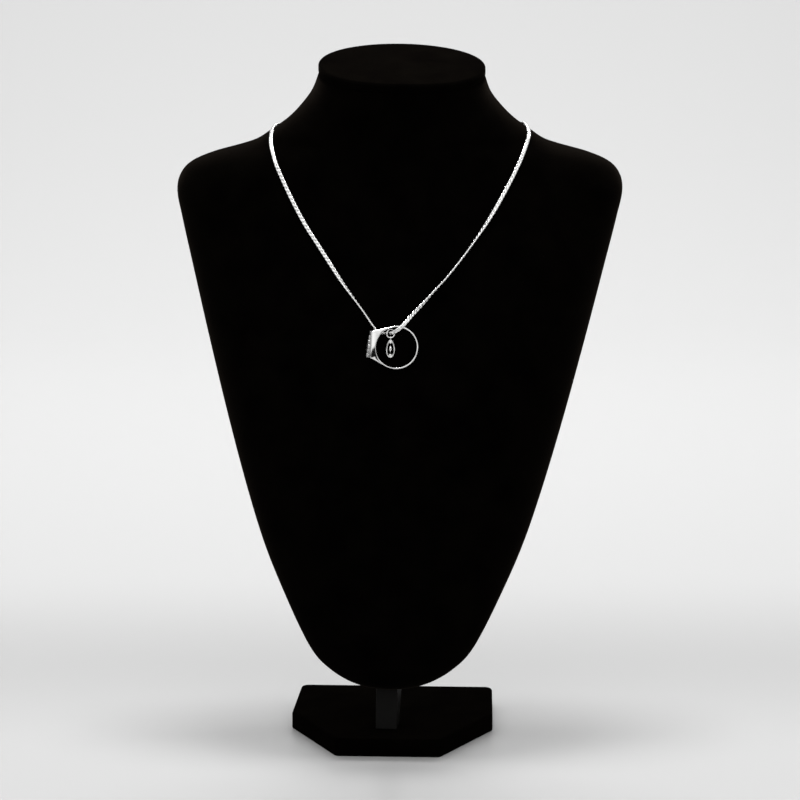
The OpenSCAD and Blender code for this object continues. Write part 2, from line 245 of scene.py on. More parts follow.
def finish(name, dark, light, grain, rough, relief, **sockets):
    """A Principled material. Colour runs from dark to light by the grain (scale, detail), roughness
    over a range by the same grain, and relief is (scale, coarse share, strength, depth in m)."""
    material = bpy.data.materials.new(name)
    material.use_nodes = True
    tree = material.node_tree
    shader = tree.nodes["Principled BSDF"]
    for socket, value in sockets.items():
        shader.inputs[socket.replace("_", " ")].default_value = value
    colour_grain = place_group(tree, grain_group, (*grain, 0, 1))
    rough_grain = place_group(tree, grain_group, (*grain, *rough))
    colour = tree.nodes.new("ShaderNodeMix")
    colour.data_type = "RGBA"
    colour.inputs["A"].default_value = (*dark, 1)
    colour.inputs["B"].default_value = (*light, 1)
    scale, coarse_share, strength, depth = relief
    height = place_group(tree, relief_group, (scale, coarse_share))
    bump = tree.nodes.new("ShaderNodeBump")
    bump.inputs["Strength"].default_value = strength
    bump.inputs["Distance"].default_value = depth
    connect(tree, [
        (colour_grain.outputs["Value"], colour.inputs["Factor"]),
        (colour.outputs["Result"], shader.inputs["Base Color"]),
        (rough_grain.outputs["Value"], shader.inputs["Roughness"]),
        (height.outputs["Height"], bump.inputs["Height"]),
        (bump.outputs["Normal"], shader.inputs["Normal"]),
    ])
    return material


# %% [markdown]
# ## The finishes' values
#
# The grain and the relief have scales per metre, so a velvet pile of about a third of a millimetre
# has a scale in the thousands. The depths are real ones: 0.3 mm for pile, a few hundredths of a
# millimetre for moulded plastic, and a hundredth for hairlines on silver.

# %% Finishes
# The pad's and the base's copies have less sheen: painted shade on their upturned faces, and on the
# base under the bust.
velvet, shaded_pad_velvet, shaded_base_velvet = (
    finish(
        name, (0.0004, 0.0003, 0.0003), (0.0011, 0.0009, 0.0007), (60, 4), (0.9, 1.0),
        (2600, 0.25, 0.6, 0.0003), Sheen_Weight=sheen, Sheen_Roughness=0.4,
        Sheen_Tint=(1.0, 0.82, 0.66, 1), Specular_IOR_Level=0.0,
    )
    for name, sheen in (("bust_velvet", 0.02), ("shaded_pad_velvet", 0.008), ("shaded_base_velvet", 0.004))
)
plastic = finish(
    "black_plastic", (0.002, 0.0018, 0.0016), (0.004, 0.0036, 0.0032), (300, 5), (0.3, 0.45),
    (2000, 0.4, 0.25, 0.00005), Specular_IOR_Level=0.05,
)
silver = finish(
    "polished_silver", (0.90, 0.90, 0.89), (0.96, 0.96, 0.95), (900, 3), (0.04, 0.10),
    (3500, 0.3, 0.12, 0.00001), Metallic=1.0,
)
# A rougher, greyer silver for the relief, whose colour varies at random from dark grey to light
# grey.
mottled_grey_silver = finish(
    "mottled_grey_silver", (0.2, 0.2, 0.2), (0.75, 0.75, 0.74), (1900, 3), (0.22, 0.38),
    (3500, 0.3, 0.2, 0.00002), Metallic=1.0,
)
finishes = (velvet, shaded_pad_velvet, shaded_base_velvet, plastic, silver, mottled_grey_silver)
print("finishes:", [material.name for material in finishes])

# %% [markdown]
# ## The bust's skin
#
# The real bust is moulded foam under stretched velvet, so its form is smooth all over. Here it is
# a stack of superellipses, one row of the table for each level, rounder in front than behind.

# %% The bust's sections
# Columns: height, half width, front, widest line, back, roundness in front, roundness behind
SECTIONS = np.array([
    [31, 4, -36, -34.5, -33, 2, 2],
    [32, 11, -38.5, -34.5, -30.5, 2, 2],
    [34, 18, -40.5, -34.5, -28.5, 2, 2.2],
    [37, 24.5, -42, -34, -27, 2, 2.6],
    [41, 30.5, -43, -33.5, -25.5, 2, 3],
    [47, 37, -44.5, -33, -23.5, 2, 3.4],
    [56, 43, -46, -31.5, -21, 2.1, 3.8],
    [75, 52.5, -48, -27, -15.5, 2.1, 4],
    [100, 63.5, -49.5, -20.5, -8.5, 2.2, 4],
    [125, 72.2, -49.5, -13.5, -1.5, 2.2, 4],
    [160, 82.6, -46.5, -4, 8.5, 2.2, 4],
    [200, 93.4, -39.5, 7, 19.5, 2.2, 4],
    [240, 103.6, -29.5, 17.5, 30.5, 2.2, 4],
    [262, 109, -21.5, 22, 37.5, 2.2, 3.6],
    [274, 111.3, -17.5, 23.5, 42.5, 2.2, 3.2],
    [282, 109.7, -14.5, 24, 46, 2.2, 2.9],
    [288, 104.2, -12.8, 23.5, 48.3, 2.2, 2.7],
    [292.5, 93.8, -11.8, 23, 49.6, 2.2, 2.6],
    [296, 81.2, -11.3, 22.5, 50.2, 2.2, 2.5],
    [299, 72.5, -11, 22, 50.3, 2.2, 2.4],
    [304, 64.9, -10.8, 21.5, 50.2, 2.3, 2.3],
    [310, 56.6, -11, 21, 50.3, 2.3, 2.2],
    [317, 49.6, -11.5, 20.5, 51, 2.3, 2.1],
    [324, 44.4, -12.5, 20, 52.3, 2.4, 2],
    [333, 41, -14, 20, 54, 2.4, 2],
])
TIP_Z, BEND_Z, NECK_Z = 31, 309, 333
MIDDLE_X, DRIFT = -0.4, math.tan(math.radians(1))
NECK_SLOPE, NECK_ROLL = math.tan(math.radians(10)), math.tan(math.radians(1))
print("sections:", len(SECTIONS), "from", TIP_Z, "to", NECK_Z, "mm up")

# %% [markdown]
# ## The skin as a function
#
# A smooth cubic joins the rows of the table, and above the shoulders the sections bend until the
# neck's end tips forward. The chain is laid on the same function later, so it always rests on the
# velvet.

# %% The skin function
# Turns of the middle of the front and of the back, and the steps that measure the slope
FRONT, BEHIND = -90, 90
TURN_STEP, RISE_STEP = 0.5, 0.25


def middle_x(z):
    """The bust's middle line, which drifts one degree to the right on its way up."""
    return MIDDLE_X + DRIFT * (z - TIP_Z)


def section(z):
    """The table's row at any height: a cubic that has, at each row, the slope between the rows
    below and above."""
    level, rows = SECTIONS[:, 0], SECTIONS[:, 1:]
    below = np.maximum(np.arange(len(level)) - 1, 0)
    above = np.minimum(np.arange(len(level)) + 1, len(level) - 1)
    slope = (rows[above] - rows[below]) / (level[above] - level[below])[:, None]
    i = np.clip(np.searchsorted(level, z, side="right") - 1, 0, len(level) - 2)
    h = (level[i + 1] - level[i])[..., None]
    t = (z - level[i])[..., None] / h
    return (
        (2 * t**3 - 3 * t**2 + 1) * rows[i] + (t**3 - 2 * t**2 + t) * h * slope[i]
        + (3 * t**2 - 2 * t**3) * rows[i + 1] + (t**3 - t**2) * h * slope[i + 1]
    )


def skin(turn, z):
    """A point of the skin. Turn is 0 at the right side, 90 behind and -90 in front. Each half of a
    section is a superellipse: cosine and sine, each raised to 2 over the roundness."""
    turn, z = np.broadcast_arrays(np.radians(turn), np.asarray(z, float))
    half, front, widest, back, round_front, round_back = np.moveaxis(section(z), -1, 0)
    cos, sin = np.cos(turn), np.sin(turn)
    power = 2 / np.where(sin < 0, round_front, round_back)
    x = half * np.sign(cos) * np.abs(cos) ** power
    y = np.where(sin < 0, widest - front, back - widest) * np.sign(sin) * np.abs(sin) ** power
    bend = ease((z - BEND_Z) / (NECK_Z - BEND_Z))
    return np.stack([middle_x(z) + x, widest + y, z + bend * (NECK_SLOPE * y - NECK_ROLL * x)], -1)


def skin_normal(turn, z):
    """Which way the skin faces: the cross product of a step round and a step up."""
    turn, z = np.asarray(turn, float), np.asarray(z, float)
    step_round = skin(turn + TURN_STEP, z) - skin(turn - TURN_STEP, z)
    step_up = skin(turn, z + RISE_STEP) - skin(turn, z - RISE_STEP)
    return unit(np.cross(step_round, step_up))


print("front of the neck's end in mm:", skin(FRONT, NECK_Z).round(2).tolist())

# %% [markdown]
# ## Bust
#
# One grid covers the whole form. The columns crowd towards the side edges, where the superellipse
# turns fastest, and the rows crowd at the tip and at the shoulders. It is dense enough for the
# outline to stay smooth in a close view, with no subdivision.

# %% Bust
# Heights where the tip's rounding ends, the shoulders start and the neck starts
TIP_END_Z, SHOULDER_Z, NECK_START_Z = 56, 262, 310
COLUMNS, TIP_ROWS, CHEST_ROWS, SHOULDER_ROWS, NECK_ROWS = 192, 22, 60, 48, 16
TIP_CROWDING = 1.8
around = np.linspace(0, 360, COLUMNS, endpoint=False)
levels = np.concatenate([
    TIP_Z + (TIP_END_Z - TIP_Z) * np.linspace(0, 1, TIP_ROWS, endpoint=False) ** TIP_CROWDING,
    np.linspace(TIP_END_Z, SHOULDER_Z, CHEST_ROWS, endpoint=False),
    np.linspace(SHOULDER_Z, NECK_START_Z, SHOULDER_ROWS, endpoint=False),
    np.linspace(NECK_START_Z, NECK_Z, NECK_ROWS),
])
bust_skin = shell(skin(around[None], levels[:, None]), poles=True)
make_piece("velvet_bust", [bust_skin], velvet, ["bust"])

# %% [markdown]
# ## Neck pad
#
# A velvet-covered disc closes the neck. Its rim is rounded above and below, and its top is a
# little domed. Each row of the grid is the neck's end outline, moved in or out along itself and
# up by one point of the rim's profile: two quarter circles and then a gentle dome to the middle.

# %% Neck pad
PAD_GAP, PAD_THICK, PAD_LIP, PAD_LOW_R, PAD_TOP_R, PAD_CROWN = 0.2, 4.3, 0.5, 1.1, 1.6, 0.5
# Rows under the pad and on its dome, as shares of the way from the middle out
PAD_UNDER, PAD_DOME = (0.3, 0.7, 0.96), (0.985, 0.95, 0.88, 0.75, 0.55, 0.35, 0.15)

neck_widest_y = section(np.array(NECK_Z))[2]
neck_middle = np.array([middle_x(NECK_Z), neck_widest_y, NECK_Z])
spoke = (skin(around, NECK_Z) - neck_middle) * [1, 1, 0]
outwards = unit(spoke)


def pad_row(inset, height, share=1.0):
    """The neck's outline drawn in by an inset, at a height above the neck's tilted end, and
    shrunk towards the middle by a share."""
    moved = (spoke + outwards * (PAD_LIP - inset)) * share
    tilt = NECK_SLOPE * moved[:, 1] - NECK_ROLL * moved[:, 0]
    return neck_middle + moved + np.outer(PAD_GAP + height + tilt, [0, 0, 1])


def lower_edge(row, radius, height, steps=9):
    """Rows of a rounded lower edge. At each angle of a quarter circle the inset is the radius times
    1 minus the sine, and the rise above the underside is the radius times 1 minus the cosine."""
    angles = np.radians(np.linspace(0, 90, steps))
    return [row(radius * (1 - np.sin(a)), height + radius * (1 - np.cos(a))) for a in angles]


def upper_edge(row, radius, height, steps=9):
    """The same quarter circle upside down, from the side up to the top."""
    angles = np.radians(np.linspace(0, 90, steps))
    return [row(radius * (1 - np.cos(a)), height - radius * (1 - np.sin(a))) for a in angles]


pad_rows = [pad_row(PAD_LOW_R, 0, share) for share in PAD_UNDER]
pad_rows += lower_edge(pad_row, PAD_LOW_R, 0) + upper_edge(pad_row, PAD_TOP_R, PAD_THICK)
for share in PAD_DOME:
    pad_rows.append(pad_row(PAD_TOP_R, PAD_THICK + PAD_CROWN * (1 - share**2), share))
pad = shell(np.array(pad_rows), poles=True)
make_piece("velvet_neck_pad", [pad], shaded_pad_velvet, ["neck_cap"])

# %% [markdown]
# ## Base
#
# The base is a board wrapped in velvet, with its two front corners cut off. Its outline is six
# rounded corners. Drawing it in by an inset only makes each corner's circle smaller, so the soft
# upper and lower edges are the same outline at a few insets and heights, like the pad's.

# %% Base
BASE_W, BASE_D, BASE_FRONT_W, BASE_T, BASE_TURN = 102, 97.5, 52, 9, 2.7
BASE_WIDEST_Y, BASE_TAPER, BASE_FRONT_R, BASE_BACK_R = -1, 1.5, 3, 4
BASE_EDGE, BASE_FOOT = 1.5, 0.6
BASE_UNDER, BASE_TOP = (0.3, 0.8, 0.98), (0.985, 0.9, 0.6, 0.3)
# Corner x, corner y, corner radius, going round from the front left
BASE_PLAN = np.array([
    [-BASE_FRONT_W / 2, -BASE_D / 2, BASE_FRONT_R],
    [BASE_FRONT_W / 2, -BASE_D / 2, BASE_FRONT_R],
    [BASE_W / 2, BASE_WIDEST_Y, BASE_BACK_R],
    [BASE_W / 2 - BASE_TAPER, BASE_D / 2, BASE_BACK_R],
    [BASE_TAPER - BASE_W / 2, BASE_D / 2, BASE_BACK_R],
    [-BASE_W / 2, BASE_WIDEST_Y, BASE_BACK_R],
])


def rounded_outline(plan, inset, steps=9):
    """A convex outline with round corners. Each corner's circle keeps its middle, which lies on the
    line that halves the corner, and loses the inset from its radius."""
    corner, radius = plan[:, :2], plan[:, 2:]
    back, ahead = unit(np.roll(corner, 1, 0) - corner), unit(np.roll(corner, -1, 0) - corner)
    half = np.arccos((back * ahead).sum(1, keepdims=True)) / 2
    middle = corner + unit(back + ahead) * radius / np.sin(half)
    first = corner + back * radius / np.tan(half) - middle
    start = np.arctan2(first[:, 1], first[:, 0])[:, None]
    angle = start + (np.pi - 2 * half) * np.linspace(0, 1, steps)
    ring = np.stack([np.cos(angle), np.sin(angle)], -1) * (radius - inset)[:, None]
    return (middle[:, None] + ring).reshape(-1, 2)


def plan_row(plan, inset, height, share=1.0):
    """A plan's outline at an inset and a height, shrunk towards the middle by a share."""
    flat = rounded_outline(plan, inset) * share
    return np.column_stack([flat, np.full(len(flat), height)])


def rotation(axis, degrees):
    """A matrix that turns points about x, y or z, used as points @ matrix.T."""
    a, i = math.radians(degrees), "xyz".index(axis)
    matrix = np.eye(3)
    j, k = (i + 1) % 3, (i + 2) % 3
    matrix[j, j] = matrix[k, k] = math.cos(a)
    matrix[k, j], matrix[j, k] = math.sin(a), -math.sin(a)
    return matrix


def turned(points, axis, degrees):
    """Points turned about x, y or z, anticlockwise for someone whom that axis points at."""
    return points @ rotation(axis, degrees).T


base_row = partial(plan_row, BASE_PLAN)
base_rows = [base_row(BASE_FOOT, 0, share) for share in BASE_UNDER]
base_rows += lower_edge(base_row, BASE_FOOT, 0, steps=5) + upper_edge(base_row, BASE_EDGE, BASE_T)
base_rows += [base_row(BASE_EDGE, BASE_T, share) for share in BASE_TOP]
base = shell(turned(np.array(base_rows), "z", -BASE_TURN), poles=True)
make_piece("velvet_base", [base], shaded_base_velvet, ["base"])

# %% [markdown]
# ## Post
#
# A moulded plastic bar carries the bust: it leans with the chest and widens behind into a wedge.
# It is its side view carried across the width, and a small live bevel rounds the moulded edges.

# %% Post
POST_W, POST_TURN, POST_BEVEL = 10.7, 6, 0.35
# The point on the table that the post's turn is about
POST_ABOUT = np.array([-2.5, -26, 0])
# Side view as y and height: up the front from the foot, then down the back of the wedge
POST_SIDE = np.array([
    [-31.8, 9.2], [-27.2, 33], [-24.2, 41], [-19.8, 56], [-14.4, 75], [-7.4, 100],
    [-3, 100], [2, 62], [-2, 34], [-17.5, 9.2],
])
post_x = np.repeat([-POST_W / 2, POST_W / 2], len(POST_SIDE))
post_points = np.column_stack([post_x, np.tile(POST_SIDE, (2, 1)) - [POST_ABOUT[1], 0]])
left = np.arange(len(POST_SIDE))
right = left + len(POST_SIDE)
between = np.stack([left, right, np.roll(right, -1), np.roll(left, -1)], -1)
post_faces = [left.tolist(), right[::-1].tolist(), *between.tolist()]
bar = (turned(post_points, "z", -POST_TURN) + POST_ABOUT, post_faces)
post = make_piece("plastic_post", [bar], plastic, ["post"])
bevel = post.modifiers.new("moulded_edges", "BEVEL")
bevel.width = POST_BEVEL * MM
bevel.segments = 3
bevel.limit_method = "ANGLE"
bevel.harden_normals = True

# %% [markdown]
# ## The ring's own frame
#
# The ring hangs flat against the chest: its hole looks at the viewer and leans back with the
# velvet. Ring, jump ring, charm and the chain's stretch through them are all worked out in this
# frame: x across, y up the chest, z out to the viewer.

# %% Ring frame
# The middle's height, its way from the bust's middle line and out of the velvet, and three angles
RING_Z, RING_SIDE, RING_OFF, RING_LEAN, RING_TURN, RING_SPIN = 206.2, -0.55, 3.5, 6, 5.5, 3
RING_AT = np.array([middle_x(RING_Z) + RING_SIDE, skin(FRONT, RING_Z)[1] - RING_OFF, RING_Z])
TO_CHEST = rotation("x", 90 - RING_LEAN) @ rotation("y", RING_TURN)


def on_chest(points):
    """Points of the ring's own frame, placed on the chest."""
    return points @ TO_CHEST.T + RING_AT


print("ring's middle in mm:", RING_AT.round(2).tolist())

# %% [markdown]
# ## Signet ring
#
# The ring is cast in one piece and polished: a slim hoop whose straight shoulders widen to a flat
# table. Seen along the finger its outline is a distance from the middle at each turn: the hoop's
# circle, then a line that leaves it as a tangent, then the table's straight edge.

# %% Signet ring's outline
HOLE_R, HOLE_ROOM, HOOP_R, HOOP_HALF, HEAD_HALF = 9.9, 0.4, 10.65, 1.5, 3.8
TABLE_OUT, TABLE_L, TABLE_SHIFT, CORNER_SOFT = 12.8, 13.5, 1, 0.07
# The lines stop before their cosines reach 0: the widest turn past the tangent, the least cosine
SHOULDER_END, TABLE_COS = 1.2, 0.5
# Lower and upper end of the table, the turn of each, and where its shoulder leaves the hoop
TABLE_ENDS = TABLE_SHIFT + np.array([-TABLE_L / 2, TABLE_L / 2])
CORNERS_AT = np.pi - np.arctan2(np.abs(TABLE_ENDS), TABLE_OUT)
TOUCH_AT = CORNERS_AT - np.arccos(HOOP_R / np.hypot(TABLE_OUT, TABLE_ENDS))


def ring_reach(turn):
    """The outline's distance from the middle: the hoop's radius, or that over the cosine past the
    shoulder's tangent point, or the table's distance over the cosine. The lesser of shoulder and
    table is taken with a soft corner."""
    turn = (turn + np.pi) % (2 * np.pi) - np.pi
    past = np.abs(turn) - np.where(turn < 0, *TOUCH_AT)
    shoulder = HOOP_R / np.cos(np.clip(past, 0, SHOULDER_END))
    table = TABLE_OUT / np.clip(-np.cos(turn), TABLE_COS, 1)
    nearness = np.exp(-shoulder / CORNER_SOFT) + np.exp(-table / CORNER_SOFT)
    return -CORNER_SOFT * np.log(nearness)


def ring_half_depth(x):
    """Half the metal's depth along the finger, growing evenly from the hoop to the table."""
    return HOOP_HALF + (HEAD_HALF - HOOP_HALF) * np.clip(-x / TABLE_OUT, 0, 1)


print("the shoulders leave the hoop at", np.degrees(TOUCH_AT).round(1).tolist(), "degrees")

# %% [markdown]
# ## Signet ring's body
#
# At each turn the metal's section is a box with round edges, which gets deeper towards the head.
# The edges are rounder there too, and roundest at the head's lower end, where a real one is worn.
# More sections stand close to the table's two corners, where the outline turns fastest.

# %% Signet ring's body
# Edge radius of the hoop, what the head adds, and what its lower end adds, outside and inside
OUTER_EDGE, INNER_EDGE = (0.4, 0.3, 0.3), (0.3, 0.25, 0)
# The most of the wall that an edge may take, outside and inside
OUTER_SHARE, INNER_SHARE = 0.5, 0.35
# Distance out where the head starts and how far it takes to fade in, and the same downwards
HEAD_FADE, LOW_FADE = (3, 9), (3, 4)
# How far the side faces fall off at the head's ends, the half length over which they do, and how
# far in radians the extra sections reach from a corner
CROWN, CROWN_HALF_L, CORNER_SPREAD = 0.35, 7.5, 0.06
RING_STEPS, CORNER_STEPS = 240, 13


def edge_arc(start, steps=6):
    """Directions over a quarter circle from a start angle."""
    a = np.radians(start + np.linspace(0, 90, steps))
    return np.stack([np.cos(a), np.sin(a)], -1)


def ring_grid(turns):
    """A round-edged box section at each turn: four corner arcs, outer front, inner front, inner
    back, outer back. The side faces are a little crowned along the head, as by hand polishing."""
    reach, cos, sin = ring_reach(turns), np.cos(turns), np.sin(turns)
    head = ease((-reach * cos - HEAD_FADE[0]) / HEAD_FADE[1])
    below = ease((-reach * sin - LOW_FADE[0]) / LOW_FADE[1])
    hole = HOLE_R + HOLE_ROOM * np.maximum(-cos, 0)
    crown = CROWN * head * ((reach * sin - TABLE_SHIFT) / CROWN_HALF_L) ** 2

    def edge_radius(hoop, more, lowest, share):
        """The hoop's radius plus what the head and its lower end add, up to a share of the wall."""
        return np.minimum(hoop + (more + lowest * below) * head, share * (reach - hole))

    outer = edge_radius(*OUTER_EDGE, OUTER_SHARE)
    inner = edge_radius(*INNER_EDGE, INNER_SHARE)
    sections = []
    for r, edge, side, start in (
        (reach - outer, outer, 1, 0), (hole + inner, inner, 1, 90),
        (hole + inner, inner, -1, 180), (reach - outer, outer, -1, 270),
    ):
        z = side * (ring_half_depth(r * cos) - edge - crown)
        middle = np.stack([r, z], -1)[:, None]
        sections.append(middle + edge[:, None, None] * edge_arc(start))
    r, z = np.moveaxis(np.concatenate(sections, 1), -1, 0)
    return np.stack([r * cos[:, None], r * sin[:, None], z], -1)


near = np.linspace(-CORNER_SPREAD, CORNER_SPREAD, CORNER_STEPS)
near_corners = [corner + near for corner in CORNERS_AT * [-1, 1]]
even = np.linspace(-np.pi, np.pi, RING_STEPS, endpoint=False)
turns = np.unique(np.concatenate([even, *near_corners]))
ring_body = shell(ring_grid(turns))
print("ring body:", len(ring_body[1]), "faces")

# %% [markdown]
# ## Relief on the table
#
# The table carries a raised plate and a plain stepped relief of five bars, which stand out more
# and more towards the lower end. Each is a box with round edges: take the directions of a sphere,
# push each corner's share of them out to the box's corner, and the gaps between become the flat
# faces. On the real ring the relief is cast with the body. Here it is a mesh of its own, because
# its finish is another one.

# %% Signet ring's relief
PLATE_H, PLATE_END, PLATE_EDGE = 0.45, 0.5, 0.2
BAR_W, BAR_EDGE, TABLE_SINK, OFF_AXIS = 2.1, 0.25, 0.2, 1e-4
# Middle along the table, length across it, height
BARS = ((3.05, 3.6, 0.95), (0.95, 5, 1.3), (-1.15, 6.4, 1.45), (-3.25, 5, 1.55), (-5.35, 3.6, 1.75))


def rounded_box(centre, size, edge, steps=8):
    """A sphere's directions times the edge radius, plus the box's inner corner on the same side.
    Each quarter turn starts and ends just off the axes, where a direction would have no side."""
    up = np.radians(np.linspace(-90, 90, 2 * steps)[1:-1])[:, None]
    quarter_turn = np.linspace(OFF_AXIS, 90 - OFF_AXIS, steps)
    around_z = np.radians((np.arange(4)[:, None] * 90 + quarter_turn).ravel())[None]
    out = np.stack([
        np.cos(up) * np.cos(around_z), np.cos(up) * np.sin(around_z), np.sin(up) + 0 * around_z,
    ], -1)
    return np.array(centre) + np.sign(out) * (np.array(size) / 2 - edge) + out * edge


def on_table(middle, along, across, height, edge):
    """A rounded box on the ring's table, which sinks into it a little, as cast metal would join."""
    centre = (-TABLE_OUT - height / 2 + TABLE_SINK / 2, TABLE_SHIFT + middle, 0)
    return shell(rounded_box(centre, (height + TABLE_SINK, along, across), edge), poles=True)


relief = [on_table(0, TABLE_L - 2 * PLATE_END, 2 * (HEAD_HALF - PLATE_END), PLATE_H, PLATE_EDGE)]
relief += [on_table(middle, BAR_W, across, height, BAR_EDGE) for middle, across, height in BARS]

for name, shapes, metal in [
    ("signet_ring", [ring_body], silver), ("signet_relief", relief, mottled_grey_silver),
]:
    hung = [(on_chest(turned(points, "z", -RING_SPIN)), faces) for points, faces in shapes]
    make_piece(name, hung, metal, ["ring_pendant"])

# %% [markdown]
# ## Jump ring
#
# A closed ring of round wire. It is a circle carried round a circle, turned a little about the
# chest's up direction so that the chain can run through it.

# %% Jump ring
JUMP_OD, JUMP_WIRE, JUMP_TURN = 4.7, 0.65, 15
JUMP_R = (JUMP_OD - JUMP_WIRE) / 2
# Its middle in the ring's own frame
JUMP_AT = np.array([-2.74, 6.65, -0.7])


def torus(radius, half_width, half_thick, steps=64, wire_steps=20):
    """A ring about z: an ellipse of wire carried round a circle."""
    a = np.linspace(0, 2 * np.pi, steps, endpoint=False)[:, None]
    b = np.linspace(0, 2 * np.pi, wire_steps, endpoint=False)[None]
    r = radius + half_width * np.cos(b)
    return np.stack([r * np.cos(a), r * np.sin(a), half_thick * np.sin(b) + 0 * a], -1)


jump = turned(torus(JUMP_R, JUMP_WIRE / 2, JUMP_WIRE / 2), "y", JUMP_TURN) + JUMP_AT
make_piece("small_ring", [shell(on_chest(jump))], silver, ["jump_ring"])

# %% [markdown]
# ## Charm
#
# The charm is a pierced drop: a rim of metal with a pointed top, and a plain lozenge between two
# beads inside. The rim's section is a slightly squared ellipse carried round the drop, from the
# inner outline to the outer one. The bail is a small ring through the jump ring, soldered to the
# drop.

# %% Charm
CHARM_W, CHARM_H, CHARM_T, CHARM_RIM, CHARM_LEAN = 4.4, 9.3, 0.8, 0.65, 9.5
BAIL_R, BAIL_WIRE, BEAD_R, LOZENGE_HALF_W = 0.8, 0.5, 0.7, 1.1
# The drop's slimming and what keeps its width, the rim's extra at the ends and its roundness
DROP_SLIM, DROP_WIDEN, RIM_AT_ENDS, RIM_ROUND = 0.25, 1.083, 1.3, 0.8
# The lozenge's half height and half depth as shares, and the height of its waist
LOZENGE_H_SHARE, LOZENGE_T_SHARE, WAIST_Y = 0.3, 0.4, -0.4
# How low the inside sits, how deep soldered parts meet, and the bail's play on the jump ring
INSIDE_LOW, SOLDER, BAIL_PLAY = 0.1, 0.1, 0.08
DROP_STEPS, RIM_STEPS = 96, 16


def drop(t, width, height):
    """The charm's outline: a sine for the width, slimmed towards the top by the half angle's sine,
    and a cosine for the height."""
    x = DROP_WIDEN * width / 2 * np.sin(t) * np.abs(np.sin(t / 2)) ** DROP_SLIM
    return np.stack([x, height / 2 * np.cos(t), 0 * t], -1)


def blunt(v):
    """A sine or cosine raised to a power under 1, with its sign kept, for a squarer section."""
    return (np.sign(v) * np.abs(v) ** RIM_ROUND)[..., None]


t = np.linspace(0, 2 * np.pi, DROP_STEPS, endpoint=False)[:, None]
s = np.linspace(0, 2 * np.pi, RIM_STEPS, endpoint=False)[None]
outer = drop(t, CHARM_W, CHARM_H)
inner = drop(t, CHARM_W - 2 * CHARM_RIM, CHARM_H - 2 * RIM_AT_ENDS * CHARM_RIM)
inner -= [0, INSIDE_LOW, 0]
rim = (outer + inner) / 2 + (outer - inner) / 2 * blunt(np.cos(s))
rim = rim + blunt(np.sin(s)) * [0, 0, CHARM_T / 2]

tall, deep = LOZENGE_H_SHARE * CHARM_H, LOZENGE_T_SHARE * CHARM_T
facets = np.array([
    [0, tall, 0], [-LOZENGE_HALF_W, WAIST_Y, 0], [0, -tall, 0], [LOZENGE_HALF_W, WAIST_Y, 0],
    [0, WAIST_Y, deep], [0, WAIST_Y, -deep],
])
around_lozenge = [(0, 1), (1, 2), (2, 3), (3, 0)]
facet_faces = [[a, b, 4] for a, b in around_lozenge] + [[b, a, 5] for a, b in around_lozenge]

bead = rounded_box((0, 0, 0), (2 * BEAD_R,) * 3, BEAD_R, steps=6)
bead_y = CHARM_H / 2 - CHARM_RIM - BEAD_R - SOLDER
charm_shells = [shell(rim), (facets, facet_faces)]
charm_shells += [shell(bead + [0, way * bead_y - INSIDE_LOW, 0], poles=True) for way in (-1, 1)]
below_bail = [0, -BAIL_R - CHARM_H / 2 + SOLDER, 0]
charm_shells = [(points + below_bail, faces) for points, faces in charm_shells]
bail = torus(BAIL_R, BAIL_WIRE / 2, BAIL_WIRE / 2, steps=36, wire_steps=14)
charm_shells.append(shell(turned(bail, "y", 90)))

hang = JUMP_AT + [0, -JUMP_R - (BAIL_R - BAIL_WIRE / 2 - JUMP_WIRE / 2 - BAIL_PLAY), 0]
hung = [(on_chest(turned(points, "x", CHARM_LEAN) + hang), faces) for points, faces in charm_shells]
make_piece("drop_charm", hung, silver, ["charm"])

# %% [markdown]
# ## The chain's rows
#
# The route is the same short table of rows as the CAD tube's: over each shoulder and down the
# chest on the velvet, and through the ring in the ring's own frame. Each row has a place and a
# roll, because a flat chain twists along its length.

# %% Chain rows
CHAIN_W, CHAIN_T, CHAIN_GAP = 2.1, 1.0, 0.2
CLASP_L, CLASP_T, CLASP_Z = 11.4, 1.9, 292
# Rows on the front: x from the middle line, height, roll
LEFT_FRONT = np.array([
    [-63.9, 301, 8], [-63.6, 298, 10], [-62.3, 294, 8], [-61.4, 291.7, 6],
    [-60.5, 289.5, 4], [-57.6, 283.5, 0], [-52.4, 273.5, 0], [-46, 262.5, 0],
    [-39, 252.5, 0], [-32, 242.5, 15], [-27, 235.5, 45], [-22, 229, 75], [-17, 222.5, 90],
])
RIGHT_FRONT = np.array([
    [12.5, 226.5, 130], [17.5, 232, 105], [23.1, 238, 92], [30.2, 246.5, 90],
    [36.9, 255.5, 70], [43.5, 265, 35], [49.3, 274.5, 5], [54.3, 283.5, 0],
    [57.3, 289.5, 0], [58.4, 291.7, 0], [59.5, 294, 0], [61.3, 298, 0], [62.4, 301, 0],
])
# Rows over a shoulder and round the nape: turn from the side, height, how much higher on the right
NAPE = np.array([
    [-18, 302.6, 0.7], [-10, 304.2, 0.7], [0, 305.4, 0.7], [14, 305.2, 0.5], [30, 303.5, 0.2],
    [45, 300.5, 0], [60, 297, 0], [72, 294.5, 0], [81, 292.8, 0], [86, 292, 0],
])
# Rows at the pendant, in the ring's own frame: across, up, out, roll
AT_RING = np.array([
    [-12.2, 11.9, -5.0, 91], [-10.7, 9.8, -4.65, 94], [-9.5, 8.4, -4.45, 100],
    [-8.2, 7.3, -4.3, 135], [-6.4, 6.6, -3.75, 125], [-4.5, 6.5, -2.45, 125],
    [-2.8, 6.8, -0.6, 150], [-1.2, 7.5, 1.1, 178], [0.6, 8.7, 2.15, 180],
    [2.5, 10.4, 2.35, 180], [4.5, 12.3, 1.8, 180], [6.7, 14.5, 0.1, 178],
    [9.6, 17.1, -2.6, 165],
])
